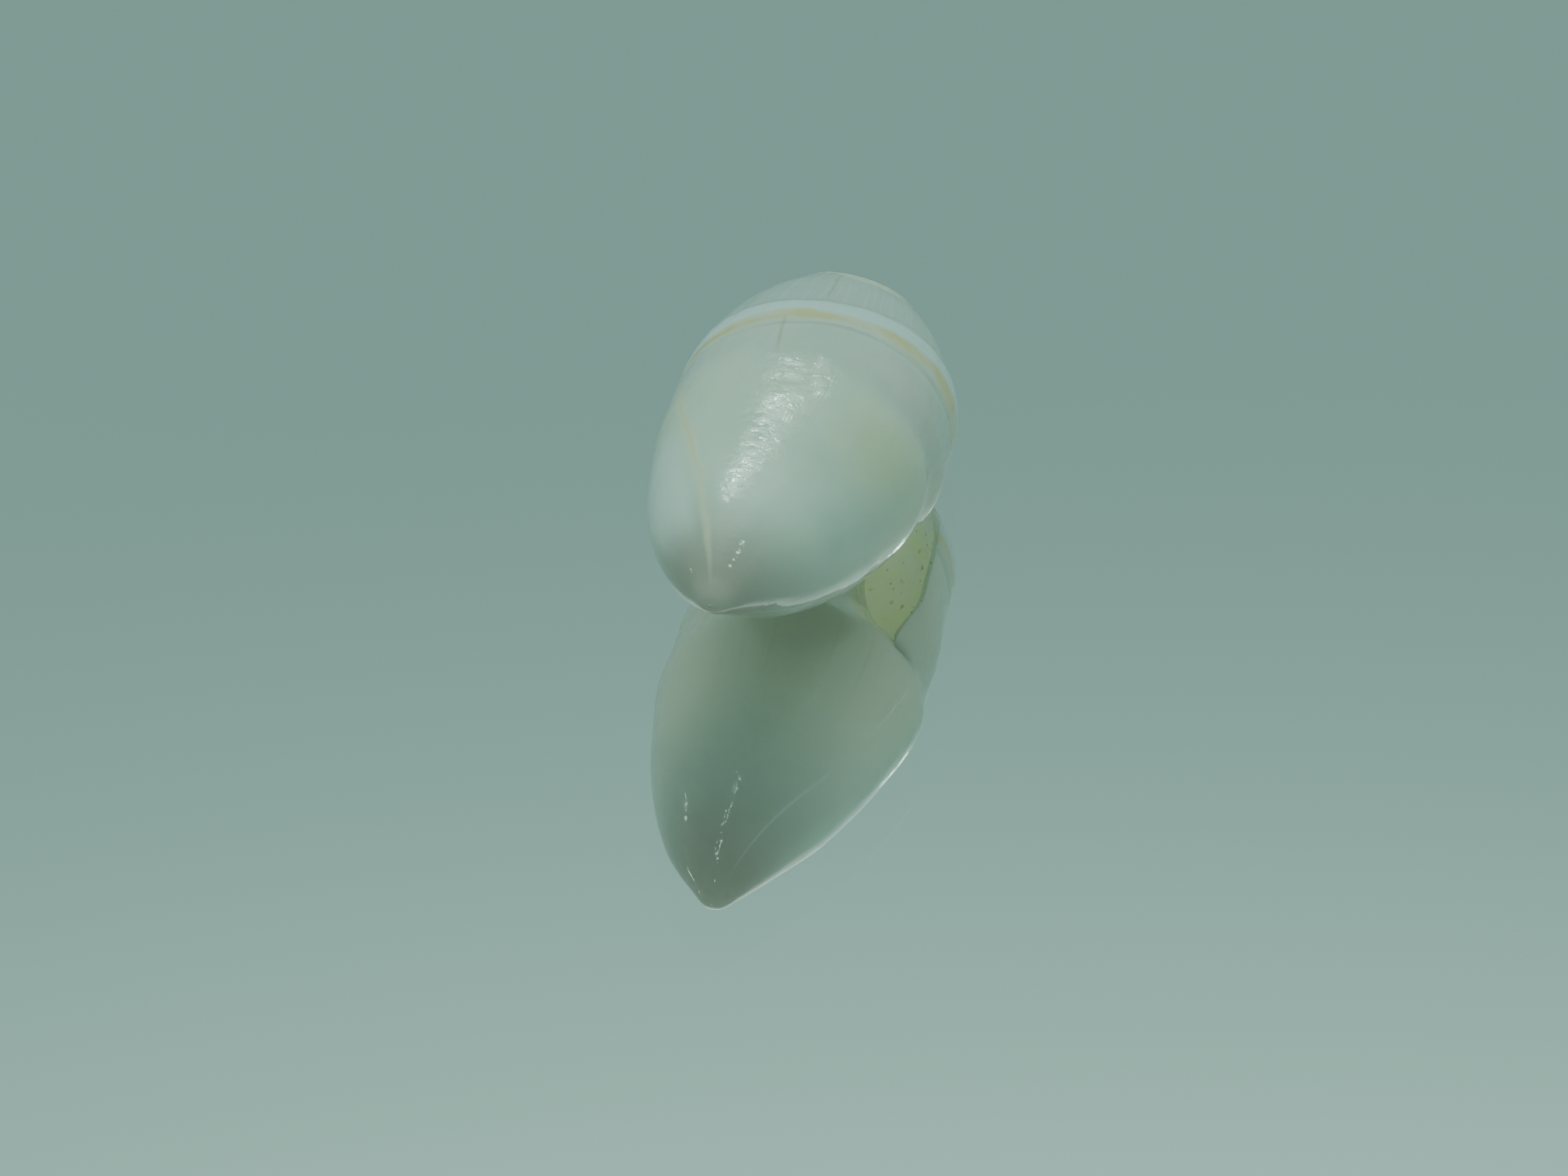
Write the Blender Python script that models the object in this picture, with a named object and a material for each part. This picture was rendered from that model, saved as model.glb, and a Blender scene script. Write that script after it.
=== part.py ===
"""Olive shell of the ancilla kind, lying aperture down on a small flat spot.

The shell is one spiral surface. Its radius is a function of two numbers: the turn, an angle that counts
back in growth from the edge of the outer lip, and the height, which runs from 0 at the front end to 1 at
the tip of the spire. The last turn and a half of that surface is the outside, and its start lies inside the
aperture as the floor. The ceiling of the aperture is the same surface moved in by the wall's thickness.

Units are metres. The long axis lies along Y, with the tip towards -Y, and Z is up.
"""

import math

import bmesh
import bpy
from mathutils import Matrix, Vector

MM = 0.001
TURN = 2.0 * math.pi

# Driving sizes of the shell
LENGTH = 24.3 * MM
BODY_RADIUS = 6.05 * MM
WALL = 0.48 * MM
LIP_WALL = 0.26 * MM

# Outline of the body along the axis: height, then share of the body radius
PROFILE = (
    (0.0, 0.375),
    (0.15, 0.633),
    (0.33, 0.796),
    (0.5, 0.915),
    (0.65, 0.804),
    (0.78, 0.631),
    (0.88, 0.41),
    (0.94, 0.245),
    (0.965, 0.168),
    (0.985, 0.108),
    (0.996, 0.058),
    (1.0, 0.0),
)

# Lean of the section's middle, as a share of its radius: towards the lip, and towards the back
LEAN_TO_LIP = (
    (0.0, 0.06),
    (0.25, -0.02),
    (0.4, 0.06),
    (0.52, 0.14),
    (0.65, 0.13),
    (0.78, 0.07),
    (0.93, -0.09),
    (1.0, 0.0),
)
LEAN_TO_BACK = (
    (0.0, 0.0),
    (0.25, -0.1),
    (0.5, 0.03),
    (0.75, -0.045),
    (0.93, -0.04),
    (1.0, 0.0),
)
OVAL = 0.08
OVAL_TURN = math.radians(24.0)

# Growth of the spiral for each turn, as a power of e: it ends where the aperture's corner meets the body
CORNER_HEIGHT = 0.469
GROWTH = ((0.0, 0.9), (0.2, 0.97), (0.348, 0.54), (CORNER_HEIGHT, 0.0), (1.0, 0.0))
GROWTH_REACH = 0.12
FLOOR_DIP = 0.28
FLOOR_DIP_TURN = math.radians(45.0)

# Outer lip: its edge flares, and the turn draws in a little behind it
LIP_FLARE = 0.45 * MM
FLARE_SPREAD = math.radians(22.0)
FLARE_HEIGHT = 0.37
FLARE_RISE = 0.1
LIP_WAIST = 0.08 * MM
WAIST_TURN = math.radians(40.0)
WAIST_SPREAD = math.radians(18.0)
WAIST_HEIGHT = 0.37
WAIST_RISE = 0.13

# Front end: the free margin, its notch, and the taper of the pillar
MARGIN_LIP = 0.085
NOTCH_DEPTH = 0.05
NOTCH_TURN = math.radians(100.0)
NOTCH_WIDTH = math.radians(55.0)
PILLAR_TAPER = 0.15
PILLAR_HEIGHT = 0.2
PILLAR_TIP = -0.012
CAVITY_TURN = math.radians(195.0)

# Groove, band and rim around the front of the last turn
GROOVE_START = 0.243
GROOVE_RISE = 0.341
GROOVE_INNER = 0.37
GROOVE_COVERED = math.radians(205.0)
GROOVE_DEPTH = 0.10 * MM
GROOVE_WIDTH = 0.22 * MM
BAND_WIDTH = 1.25 * MM
RIM_WIDTH = 1.15 * MM
RIM_HEIGHT = 0.13 * MM

# Attitude at rest, and the flat spot
AXIS_PITCH = math.radians(8.7)
LIP_ROLL = math.radians(34.6)
FLAT_DEPTH = 0.4 * MM
CUT_REACH = 0.005 * MM

# Mesh density
COLUMNS = 60
FRONT_ROWS = 7
RIM_ROWS = 4
BODY_ROWS = 9
SPIRE_ROWS = 24
EDGE_STEPS = 1

COLLECTION_NAME = "Olive shell"


def clear_scene():
    """Remove everything that the file holds."""
    for item in list(bpy.data.objects):
        bpy.data.objects.remove(item, do_unlink=True)
    for mesh in list(bpy.data.meshes):
        bpy.data.meshes.remove(mesh)


def ease(start, end, value):
    """Rise smoothly from 0 at start to 1 at end."""
    share = min(max((value - start) / (end - start), 0.0), 1.0)
    return share * share * (3.0 - 2.0 * share)


def bell(value, middle, spread):
    """Rise to 1 at the middle, and fall off on both sides."""
    return math.exp(-(((value - middle) / spread) ** 2))


def knot_slopes(knots):
    """Give each knot of a curve a slope that keeps the curve free of overshoot."""
    steps = []
    for (x0, y0), (x1, y1) in zip(knots, knots[1:]):
        steps.append((x1 - x0, (y1 - y0) / (x1 - x0)))
    slopes = [steps[0][1]]
    for (width0, rise0), (width1, rise1) in zip(steps, steps[1:]):
        if rise0 * rise1 <= 0.0:
            slopes.append(0.0)
            continue
        weight0 = 2.0 * width1 + width0
        weight1 = width1 + 2.0 * width0
        slopes.append((weight0 + weight1) / (weight0 / rise0 + weight1 / rise1))
    slopes.append(steps[-1][1])
    return slopes


def make_curve(knots):
    """Return a smooth function through the knots."""
    slopes = knot_slopes(knots)

    def curve(value):
        value = min(max(value, knots[0][0]), knots[-1][0])
        index = 0
        while index < len(knots) - 2 and value > knots[index + 1][0]:
            index += 1
        x0, y0 = knots[index]
        x1, y1 = knots[index + 1]
        width = x1 - x0
        share = (value - x0) / width
        square = share * share
        cube = square * share
        return (
            (2.0 * cube - 3.0 * square + 1.0) * y0
            + (cube - 2.0 * square + share) * width * slopes[index]
            + (3.0 * square - 2.0 * cube) * y1
            + (cube - square) * width * slopes[index + 1]
        )

    return curve


profile = make_curve(PROFILE)
growth = make_curve(GROWTH)
lean_to_lip = make_curve(LEAN_TO_LIP)
lean_to_back = make_curve(LEAN_TO_BACK)


def groove_height(turn):
    """Height of the groove: it climbs going back in growth, and eases down under the glaze."""
    climb = GROOVE_START + GROOVE_RISE * turn / TURN
    covered = ease(GROOVE_COVERED, TURN * 0.95, turn)
    return climb + (GROOVE_INNER - climb) * covered


def margin_height(turn):
    """Height of the free front edge: rounded at the lip, notched behind it."""
    lip = MARGIN_LIP * (1.0 - ease(0.0, math.radians(38.0), turn))
    notch = NOTCH_DEPTH * bell(turn, NOTCH_TURN, NOTCH_WIDTH)
    return lip + notch * ease(0.0, math.radians(60.0), turn)


def relief(turn, height):
    """Height of the surface above the plain spiral: the groove line and the rim in front of it."""
    away = (groove_height(turn) - height) * LENGTH
    fade = 1.0 - ease(GROOVE_COVERED, GROOVE_COVERED + math.radians(50.0), turn)
    groove = -GROOVE_DEPTH * bell(away, 0.0, GROOVE_WIDTH)
    middle = BAND_WIDTH + RIM_WIDTH / 2.0
    across = (away - middle) / (RIM_WIDTH / 2.0)
    rim = RIM_HEIGHT * math.exp(-(across ** 4))
    return (groove + rim) * fade


def lip_shape(turn, height):
    """Flare of the outer lip, less the waist behind it."""
    flare = LIP_FLARE * bell(turn, 0.0, FLARE_SPREAD) * bell(height, FLARE_HEIGHT, FLARE_RISE)
    waist = LIP_WAIST * bell(turn, WAIST_TURN, WAIST_SPREAD) * bell(height, WAIST_HEIGHT, WAIST_RISE)
    fade = 1.0 - ease(FLARE_HEIGHT, CORNER_HEIGHT, height)
    return (flare - waist) * fade


def spiral_radius(turn, height):
    """Radius of the growing surface, with no relief."""
    stage = (turn - math.pi) / TURN
    reach = max(height - GROWTH_REACH * math.sin(turn / 2.0) ** 2, 0.0)
    size = BODY_RADIUS * profile(height) * math.exp(-growth(reach) * stage)
    oval = OVAL * math.cos(2.0 * (turn - OVAL_TURN))
    lean = lean_to_lip(height) * math.cos(turn) + lean_to_back(height) * math.sin(turn)
    taper = PILLAR_TAPER * ease(TURN / 3.0, TURN, turn) * (1.0 - ease(0.0, PILLAR_HEIGHT, height))
    dip = FLOOR_DIP * ease(TURN, TURN + FLOOR_DIP_TURN, turn) * ease(0.2, CORNER_HEIGHT, height)
    plain = size * (1.0 + oval + lean) * (1.0 - taper) * (1.0 - dip)
    return plain + lip_shape(turn, height)


def outer_radius(turn, height):
    """Radius of the outside, or of the aperture's floor past one turn."""
    return spiral_radius(turn, height) + relief(turn, height)


def ceiling_radius(turn, height):
    """Radius of the inner face of the last turn: the wall thins at the lip and in the corner."""
    wall = LIP_WALL + (WALL - LIP_WALL) * ease(0.0, math.radians(40.0), turn)
    outside = spiral_radius(turn, height)
    gap = outside - spiral_radius(turn + TURN, height)
    return outside - min(wall, 0.45 * gap)


def shell_point(turn, height, radius):
    """Place a point in the shell's own frame: Z is the axis, X points at the lip."""
    return Vector((radius * math.cos(turn), radius * math.sin(turn), height * LENGTH))


def row_heights(turn):
    """Heights of the rows from the free edge to the aperture's corner, packed round the rim."""
    margin = margin_height(turn)
    groove = groove_height(turn)
    rim = groove - (BAND_WIDTH + RIM_WIDTH * 1.25) / LENGTH
    heights = []
    for step in range(FRONT_ROWS):
        heights.append(margin + (rim - margin) * step / FRONT_ROWS)
    for step in range(RIM_ROWS):
        heights.append(rim + (groove - rim) * step / RIM_ROWS)
    for step in range(BODY_ROWS + 1):
        heights.append(groove + (CORNER_HEIGHT - groove) * step / BODY_ROWS)
    return heights


def spire_heights():
    """Heights of the closed rings from the corner to the tip, closer together near the tip."""
    heights = []
    for step in range(1, SPIRE_ROWS):
        share = step / SPIRE_ROWS
        share = 1.0 - (1.0 - share) ** 1.6
        heights.append(CORNER_HEIGHT + (1.0 - CORNER_HEIGHT) * share)
    return heights


class ShellMesh:
    """Builds the closed surface of the shell, patch by patch."""

    def __init__(self):
        self.mesh = bmesh.new()
        self.cavity_columns = round(COLUMNS * CAVITY_TURN / TURN)
        self.corner_row = FRONT_ROWS + RIM_ROWS + BODY_ROWS

    def add_face(self, *corners):
        """Add a face, leaving out corners that meet."""
        kept = []
        for corner in corners:
            if corner not in kept:
                kept.append(corner)
        if len(kept) > 2:
            self.mesh.faces.new(kept)

    def add_point(self, turn, height, radius):
        """Add one vertex of the surface."""
        return self.mesh.verts.new(shell_point(turn, height, radius))

    def add_strip(self, first, second):
        """Join two lines of vertices with one row of faces."""
        for index in range(len(first) - 1):
            self.add_face(first[index], first[index + 1], second[index + 1], second[index])

    def build_outside(self):
        """Lay the columns of the outside and, past one turn, of the aperture's floor."""
        self.outside = []
        for column in range(COLUMNS + self.cavity_columns + 1):
            turn = TURN * column / COLUMNS
            line = []
            for row, height in enumerate(row_heights(turn)):
                if column == COLUMNS and row == self.corner_row:
                    line.append(self.outside[0][row])
                    continue
                line.append(self.add_point(turn, height, outer_radius(turn, height)))
            self.outside.append(line)
        for first, second in zip(self.outside, self.outside[1:]):
            self.add_strip(first, second)

    def build_ceiling(self):
        """Lay the columns of the inner face of the last turn."""
        self.ceiling = []
        for column in range(self.cavity_columns + 1):
            turn = TURN * column / COLUMNS
            line = []
            for row, height in enumerate(row_heights(turn)):
                if column == 0 and row == self.corner_row:
                    line.append(self.outside[0][row])
                    continue
                line.append(self.add_point(turn, height, ceiling_radius(turn, height)))
            self.ceiling.append(line)
        for first, second in zip(self.ceiling, self.ceiling[1:]):
            self.add_strip(first, second)

    def build_edge(self):
        """Round the free edge, down the lip and back along the front margin."""
        pairs = []
        for row in range(self.corner_row, 0, -1):
            pairs.append((self.outside[0][row], self.ceiling[0][row]))
        for column in range(self.cavity_columns + 1):
            pairs.append((self.outside[column][0], self.ceiling[column][0]))
        self.edge_end = []
        previous = None
        for index, (outer, inner) in enumerate(pairs):
            line = [outer]
            if outer is not inner and EDGE_STEPS > 1:
                ahead = pairs[min(index + 1, len(pairs) - 1)]
                behind = pairs[max(index - 1, 0)]
                along = (ahead[0].co + ahead[1].co) - (behind[0].co + behind[1].co)
                line += self.round_edge(outer, inner, along)
            line.append(inner)
            if previous is not None:
                self.join_edge(previous, line)
            previous = line
        self.edge_end = previous

    def round_edge(self, outer, inner, along):
        """Add the vertices of a half circle that bulges out past the free edge."""
        middle = (outer.co + inner.co) / 2.0
        across = (outer.co - inner.co) / 2.0
        bulge = across.cross(along).normalized() * across.length
        line = []
        for step in range(1, EDGE_STEPS):
            angle = math.pi * step / EDGE_STEPS
            point = middle + across * math.cos(angle) + bulge * math.sin(angle)
            line.append(self.mesh.verts.new(point))
        return line

    def join_edge(self, first, second):
        """Join two lines across the edge; the first may be the single corner vertex."""
        if len(first) == len(second):
            self.add_strip(first, second)
            return
        corner = first[0]
        for index in range(len(second) - 1):
            self.add_face(corner, second[index], second[index + 1])

    def build_inner_ends(self):
        """Close the cavity at its top row and at its blind end."""
        top = self.corner_row
        roof = [line[top] for line in self.ceiling]
        floor = [line[top] for line in self.outside[COLUMNS:]]
        self.add_strip(roof, floor)
        self.add_strip(self.ceiling[-1], self.outside[-1])

    def build_base(self):
        """Close the front end of the pillar with a fan round its tip."""
        tip = self.mesh.verts.new((0.0, 0.0, PILLAR_TIP * LENGTH))
        loop = [line[0] for line in self.outside[self.cavity_columns:]]
        loop += reversed(self.edge_end)
        for first, second in zip(loop, loop[1:]):
            self.add_face(first, second, tip)

    def build_spire(self):
        """Stack closed rings from the corner up to the tip."""
        ring = [self.outside[column][self.corner_row] for column in range(COLUMNS)]
        for height in spire_heights():
            above = []
            for column in range(COLUMNS):
                turn = TURN * column / COLUMNS
                above.append(self.add_point(turn, height, outer_radius(turn, height)))
            self.add_strip(ring + ring[:1], above + above[:1])
            ring = above
        tip = self.mesh.verts.new((0.0, 0.0, LENGTH))
        for first, second in zip(ring, ring[1:] + ring[:1]):
            self.add_face(first, second, tip)

    def lay_down(self):
        """Turn the shell to its attitude at rest."""
        axis = Vector((0.0, -math.cos(AXIS_PITCH), math.sin(AXIS_PITCH)))
        under = (Vector((0.0, 0.0, -1.0)) + axis * axis.z).normalized()
        side = axis.cross(under)
        lip = side * math.cos(LIP_ROLL) + under * math.sin(LIP_ROLL)
        back = axis.cross(lip)
        turned = Matrix((lip, back, axis)).transposed()
        for vertex in self.mesh.verts:
            vertex.co = turned @ vertex.co

    def cut_flat_spot(self):
        """Cut the flat spot under the body, and put the origin at the middle of the shell's foot."""
        low = min(vertex.co.z for vertex in self.mesh.verts) + FLAT_DEPTH
        everything = self.mesh.verts[:] + self.mesh.edges[:] + self.mesh.faces[:]
        cut = bmesh.ops.bisect_plane(
            self.mesh,
            geom=everything,
            dist=CUT_REACH,
            plane_co=(0.0, 0.0, low),
            plane_no=(0.0, 0.0, -1.0),
            clear_outer=True,
        )
        for item in cut["geom_cut"]:
            if isinstance(item, bmesh.types.BMVert):
                item.co.z = low
        rim = [item for item in cut["geom_cut"] if isinstance(item, bmesh.types.BMEdge)]
        bmesh.ops.edgeloop_fill(self.mesh, edges=rim)
        xs = [vertex.co.x for vertex in self.mesh.verts]
        ys = [vertex.co.y for vertex in self.mesh.verts]
        centre = Vector(((min(xs) + max(xs)) / 2.0, (min(ys) + max(ys)) / 2.0, low))
        for vertex in self.mesh.verts:
            vertex.co -= centre

    def finish(self, name):
        """Write the surface to a named mesh."""
        bmesh.ops.recalc_face_normals(self.mesh, faces=self.mesh.faces)
        bmesh.ops.triangulate(self.mesh, faces=self.mesh.faces)
        data = bpy.data.meshes.new(name)
        self.mesh.to_mesh(data)
        self.mesh.free()
        return data


def make_glaze():
    """Milky white glaze of the shell."""
    material = bpy.data.materials.new("shell glaze")
    material.use_nodes = True
    surface = material.node_tree.nodes["Principled BSDF"]
    surface.inputs["Base Color"].default_value = (0.82, 0.80, 0.74, 1.0)
    surface.inputs["Roughness"].default_value = 0.22
    surface.inputs["Metallic"].default_value = 0.0
    material.diffuse_color = (0.82, 0.80, 0.74, 1.0)
    return material


def build_shell(collection):
    """Model the shell as one closed solid."""
    surface = ShellMesh()
    surface.build_outside()
    surface.build_ceiling()
    surface.build_edge()
    surface.build_inner_ends()
    surface.build_base()
    surface.build_spire()
    surface.lay_down()
    surface.cut_flat_spot()
    data = surface.finish("shell")
    data.materials.append(make_glaze())
    shell = bpy.data.objects.new("shell", data)
    collection.objects.link(shell)
    return shell


def main():
    """Build the object in a collection of its own."""
    clear_scene()
    collection = bpy.data.collections.new(COLLECTION_NAME)
    bpy.context.scene.collection.children.link(collection)
    build_shell(collection)


main()
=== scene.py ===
"""Looks of the olive shell: its glazed surface at full detail, the floor, the lights and the camera.

The shell's surface is a spiral, described by a turn, which counts back in growth from the edge of the outer
lip, and a height, from 0 at the front end to 1 at the tip of the spire. The same two numbers drive its
colours. It replaces the plain solid of the frame and lies exactly where that solid does.
"""

import math

import bpy
import numpy as np
from mathutils import Matrix, Vector


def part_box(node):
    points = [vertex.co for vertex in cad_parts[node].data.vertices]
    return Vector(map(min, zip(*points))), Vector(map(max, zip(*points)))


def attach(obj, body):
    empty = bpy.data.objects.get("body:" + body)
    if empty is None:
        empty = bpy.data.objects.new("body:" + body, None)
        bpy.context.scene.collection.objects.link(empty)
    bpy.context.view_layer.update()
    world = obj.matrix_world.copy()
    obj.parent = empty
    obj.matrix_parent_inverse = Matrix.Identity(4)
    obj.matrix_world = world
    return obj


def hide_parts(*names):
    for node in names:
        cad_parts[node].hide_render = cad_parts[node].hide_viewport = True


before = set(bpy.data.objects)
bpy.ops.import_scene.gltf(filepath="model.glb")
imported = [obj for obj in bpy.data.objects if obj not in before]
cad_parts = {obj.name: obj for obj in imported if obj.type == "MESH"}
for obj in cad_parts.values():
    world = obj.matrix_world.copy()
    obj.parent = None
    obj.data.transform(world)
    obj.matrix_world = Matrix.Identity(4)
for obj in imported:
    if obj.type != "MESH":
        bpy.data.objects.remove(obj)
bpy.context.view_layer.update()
shell_low, shell_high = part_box("shell")

bl_info = {
    "name": "Olive shell",
    "version": (1, 0, 0),
    "blender": (4, 5, 0),
    "location": "View3D > Sidebar > Olive shell",
    "description": "Builds a glazed olive shell lying aperture down on a pale reflecting floor",
    "category": "Object",
}

MM = 0.001
TURN = 2.0 * math.pi

# Outline of the body along the axis: height, then share of the body radius
PROFILE = (
    (0.0, 0.375),
    (0.15, 0.633),
    (0.33, 0.796),
    (0.5, 0.915),
    (0.65, 0.804),
    (0.78, 0.631),
    (0.88, 0.41),
    (0.94, 0.245),
    (0.965, 0.168),
    (0.985, 0.108),
    (0.996, 0.058),
    (1.0, 0.0),
)

# Lean of the section's middle, as a share of its radius: towards the lip, and towards the back
LEAN_TO_LIP = (
    (0.0, 0.06),
    (0.25, -0.02),
    (0.4, 0.06),
    (0.52, 0.14),
    (0.65, 0.13),
    (0.78, 0.07),
    (0.93, -0.09),
    (1.0, 0.0),
)
LEAN_TO_BACK = (
    (0.0, 0.0),
    (0.25, -0.1),
    (0.5, 0.03),
    (0.75, -0.045),
    (0.93, -0.04),
    (1.0, 0.0),
)
OVAL = 0.08
OVAL_TURN = math.radians(24.0)

# Growth of the spiral for each turn, as a power of e
CORNER_HEIGHT = 0.469
GROWTH = ((0.0, 0.9), (0.2, 0.97), (0.348, 0.54), (CORNER_HEIGHT, 0.0), (1.0, 0.0))
GROWTH_REACH = 0.12
FLOOR_DIP = 0.28
FLOOR_DIP_TURN = math.radians(45.0)

# Outer lip: its edge flares, and the turn draws in a little behind it
LIP_FLARE = 0.45 * MM
FLARE_SPREAD = math.radians(22.0)
FLARE_HEIGHT = 0.37
FLARE_RISE = 0.1
LIP_WAIST = 0.08 * MM
WAIST_TURN = math.radians(40.0)
WAIST_SPREAD = math.radians(18.0)
WAIST_HEIGHT = 0.37
WAIST_RISE = 0.13

# Front end, pillar and hollow; at the lip the wall thins, and it takes only a share of a narrow gap
MARGIN_LIP = 0.085
MARGIN_LIP_TURN = math.radians(38.0)
NOTCH_DEPTH = 0.05
NOTCH_TURN = math.radians(100.0)
NOTCH_WIDTH = math.radians(55.0)
NOTCH_FULL_TURN = math.radians(60.0)
PILLAR_TAPER = 0.15
PILLAR_HEIGHT = 0.2
PILLAR_TIP = -0.012
CAVITY_TURN = math.radians(195.0)
WALL_TURN = math.radians(40.0)
WALL_SHARE = 0.45

# Groove and rim round the front of the last turn
GROOVE_START = 0.243
GROOVE_RISE = 0.341
GROOVE_INNER = 0.37
GROOVE_COVERED = math.radians(205.0)
GROOVE_FADE = math.radians(50.0)
GROOVE_DEPTH = 0.10 * MM
GROOVE_WIDTH = 0.22 * MM
RIM_HEIGHT = 0.13 * MM

# Attitude at rest
AXIS_PITCH = math.radians(8.7)
LIP_ROLL = math.radians(34.6)
UNDER_TURN = TURN - math.radians(90.0) + LIP_ROLL
FOOT_SOFTNESS = 0.04 * MM

# Growth marks, in turns: the long mark leans with height, the tick with the distance before the groove
MARK_TURN = 0.492
MARK_HEIGHT = 0.578
MARK_LEAN = 0.275
BLOTCH_START = 0.03
BLOTCH_END = 0.16
TICK_TURN = 0.3655
TICK_LEAN = 0.004
CAP_LINE_TURN = 0.325
MARK_WIDTH = 0.004
SEAM_TURN = 1.262
SEAM_LEAN = 0.35

# Turns between which the glaze spreads over the front bands
BARE_TURN = 0.57
COVERED_TURN = 0.70

# Soft patches of the body: colour, middle and reach in turns, middle and reach in height, strength
BODY_PATCHES = (
    ("tint", 0.165, 0.11, 0.59, 0.15, 0.75),
    ("blush", 0.17, 0.10, 0.42, 0.12, 0.55),
    ("pale", 0.28, 0.14, 0.82, 0.10, 0.6),
)

# Specks of the inside: how many to a millimetre, the share left out, and their size
SPECKS = ((1.5, 0.54, 0.60), (3.1, 0.58, 0.5))

# Fine features along the spiral: how many round a turn, and along the shell
GROWTH_TONES = (120.0, 2.2)
GROWTH_LINES = (260.0, 14.0)
THREADS = (38.0, 95.0)

# Glaze: how far light scatters in it, its bending of light, its roughness and its bumps
SCATTER_REACH = 2.4 * MM
SCATTER_COLOURS = (1.0, 1.0, 0.8)
GLAZE_IOR = 1.53
LEAST_ROUGHNESS = 0.06
THREAD_ROUGHNESS = 0.20
THREAD_DEPTH = 0.010 * MM
LINE_DEPTH = 0.008 * MM
DENT_DEPTH = 0.05 * MM

# Floor: its clear top, and where along Y, in millimetres, its far tone ends and its near tone, a paler
# painted reflection of light, is full
TOP_REFLECTION = 0.04
TOP_DROP = 0.02 * MM
FAR_TONE_PLACE = 15.0
NEAR_TONE_PLACE = -45.0

# Lights: name, azimuth and elevation in degrees, width and height in metres, and power in watts
LIGHTS = (
    ("key_light", 184.0, 58.0, (1.0, 0.7), 0.2),
    ("corner_sheen", 205.0, 54.0, (0.06, 0.02), 0.40),
    ("middle_sheen", 196.0, 56.0, (0.07, 0.02), 0.44),
    ("inner_sheen", 184.0, 58.5, (0.06, 0.02), 0.32),
    ("side_sheen", 203.0, 58.0, (0.02, 0.07), 0.36),
    ("low_sheen", 200.0, 64.0, (0.02, 0.10), 0.50),
    ("far_sheen", 170.0, 50.0, (0.05, 0.03), 0.22),
    ("right_sheen", 86.0, 63.0, (0.04, 0.04), 0.10),
    ("left_sheen", -76.0, 16.0, (0.05, 0.05), 0.12),
    ("near_sheen", -18.0, 50.0, (0.04, 0.04), 0.10),
)
LIGHT_DISTANCE = 1.0
LIT_HEIGHT = 5.0 * MM

# Surroundings: the glow's direction and reach in degrees, the share of it seen in reflections, strengths
GLOW_AZIMUTH = 184.0
GLOW_ELEVATION = 72.0
GLOW_REACH = 32.0
GLOW_SEEN = 0.7
GLOW_STRENGTH = 2.1
EVEN_STRENGTH = 0.44

# Mesh density
COLUMNS = 240
FRONT_ROWS = 24
RIM_ROWS = 28
BODY_ROWS = 30
SPIRE_ROWS = 90
EDGE_STEPS = 6
BASE_RINGS = 6


def ease(start, end, value):
    """Rise smoothly from 0 at start to 1 at end."""
    share = np.clip((value - start) / (end - start), 0.0, 1.0)
    return share * share * (3.0 - 2.0 * share)


def bell(value, middle, spread):
    """Rise to 1 at the middle, and fall off on both sides."""
    return np.exp(-(((value - middle) / spread) ** 2))


class Curve:
    """A smooth curve through its knots that never overshoots them."""

    def __init__(self, knots):
        self.places = np.array([knot[0] for knot in knots])
        self.values = np.array([knot[1] for knot in knots])
        self.widths = np.diff(self.places)
        self.slopes = self.find_slopes()

    def find_slopes(self):
        """Slope at each knot: zero where the curve turns, and a weighted mean elsewhere."""
        rises = np.diff(self.values) / self.widths
        slopes = [rises[0]]
        for index in range(len(rises) - 1):
            before, after = rises[index], rises[index + 1]
            if before * after <= 0.0:
                slopes.append(0.0)
                continue
            weight_before = 2.0 * self.widths[index + 1] + self.widths[index]
            weight_after = self.widths[index + 1] + 2.0 * self.widths[index]
            total = weight_before + weight_after
            slopes.append(total / (weight_before / before + weight_after / after))
        slopes.append(rises[-1])
        return np.array(slopes)

    def __call__(self, place):
        place = np.clip(place, self.places[0], self.places[-1])
        index = np.clip(np.searchsorted(self.places, place, side="right") - 1, 0, len(self.widths) - 1)
        width = self.widths[index]
        share = (place - self.places[index]) / width
        square = share * share
        cube = square * share
        return (
            (2.0 * cube - 3.0 * square + 1.0) * self.values[index]
            + (cube - 2.0 * square + share) * width * self.slopes[index]
            + (3.0 * square - 2.0 * cube) * self.values[index + 1]
            + (cube - square) * width * self.slopes[index + 1]
        )


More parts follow.
